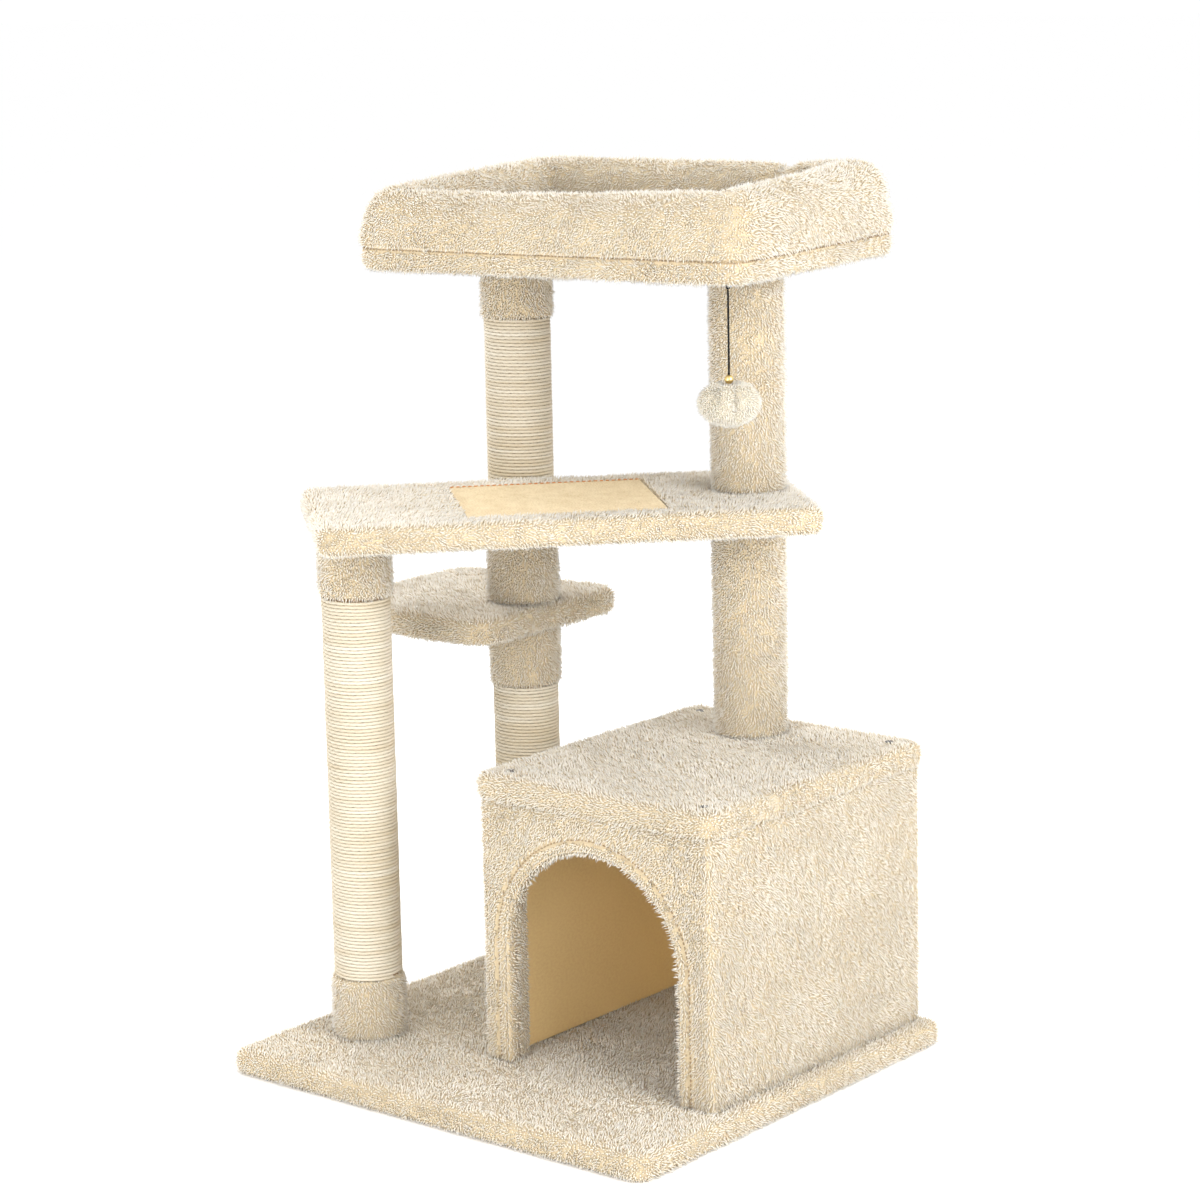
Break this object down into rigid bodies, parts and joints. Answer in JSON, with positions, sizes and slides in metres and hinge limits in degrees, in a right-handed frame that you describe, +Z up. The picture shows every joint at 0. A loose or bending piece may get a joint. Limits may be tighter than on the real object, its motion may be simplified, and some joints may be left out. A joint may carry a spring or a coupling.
{
  "type": "cat tree",
  "caption": "Plush cat tree: square base with an arched condo, sisal and plush posts, small shelf, diagonal plank with scratching pad, padded top perch and hanging pompom toy.",
  "frame": {"origin": "centre of the base's underside, on the floor", "axes": "+X to the right along the base's front edge, +Y to the back, +Z up"},
  "size_m": [0.64, 0.5986, 0.898],
  "materials": {
    "plush": "short cream plush, matt, brushed pile",
    "padded_plush": "cream plush over soft filling, matt",
    "pompom_fur": "fluffy cream pile",
    "sisal_rope": "wound natural sisal rope, matt, fibrous",
    "woven_sisal": "flat woven sisal mat, matt",
    "liner_felt": "thin dark felt",
    "wood_board": "raw particle board",
    "cardboard_tube": "wound brown cardboard",
    "steel": "zinc plated",
    "insert_metal": "yellow passivated",
    "bell_brass": "polished gold colour",
    "elastic": "black braided elastic"
  },
  "bodies": {
    "tree": {"base_board": "wood_board", "base_cover": "plush", "base_liner": "liner_felt", "base_bolts": "steel", "base_screws": "steel", "condo_front_panel": "wood_board", "condo_left_panel": "wood_board", "condo_right_panel": "wood_board", "condo_back_panel": "wood_board", "condo_battens": "wood_board", "batten_wraps": "plush", "condo_wall_cover": "plush", "doorway_binding": "plush", "condo_lid_board": "wood_board", "condo_lid_cover": "plush", "lid_screws": "steel", "lid_bolt": "steel", "front_post_tube": "cardboard_tube", "front_post_plugs": "wood_board", "front_post_rope": "sisal_rope", "front_post_lower_collar": "plush", "front_post_upper_collar": "plush", "back_post_tube": "cardboard_tube", "back_post_plugs": "wood_board", "back_post_rope": "sisal_rope", "back_post_lower_collar": "plush", "back_post_upper_collar": "plush", "back_top_post_tube": "cardboard_tube", "back_top_post_plugs": "wood_board", "back_top_post_rope": "sisal_rope", "back_top_post_lower_collar": "plush", "back_top_post_upper_collar": "plush", "right_post_tube": "cardboard_tube", "right_post_plugs": "wood_board", "right_post_sleeve": "plush", "right_top_post_tube": "cardboard_tube", "right_top_post_plugs": "wood_board", "right_top_post_sleeve": "plush", "post_inserts": "insert_metal", "joining_studs": "steel", "shelf_board": "wood_board", "shelf_cover": "plush", "plank_board": "wood_board", "plank_cover": "plush", "scratching_pad": "woven_sisal", "perch_board": "wood_board", "perch_cover": "plush", "perch_bolts": "steel", "perch_rim": "padded_plush", "bed_pad": "padded_plush", "toy_staple": "steel"},
    "toy_loop": {"toy_loop": "elastic"},
    "toy": {"toy_cord": "elastic", "toy_bell": "bell_brass", "bell_pellet": "steel", "toy_pompom": "pompom_fur"}
  },
  "joints": [
    {"name": "toy_swing_fore_aft", "type": "hinge", "parent": "tree", "child": "toy_loop", "pos_m": [0.16483, 0.03205, 0.794], "axis": [1, 0, 0], "range_deg": [-50, 35]},
    {"name": "toy_swing_sideways", "type": "hinge", "parent": "toy_loop", "child": "toy", "pos_m": [0.16483, 0.03205, 0.794], "axis": [0, 1, 0], "range_deg": [-50, 35]}
  ]
}
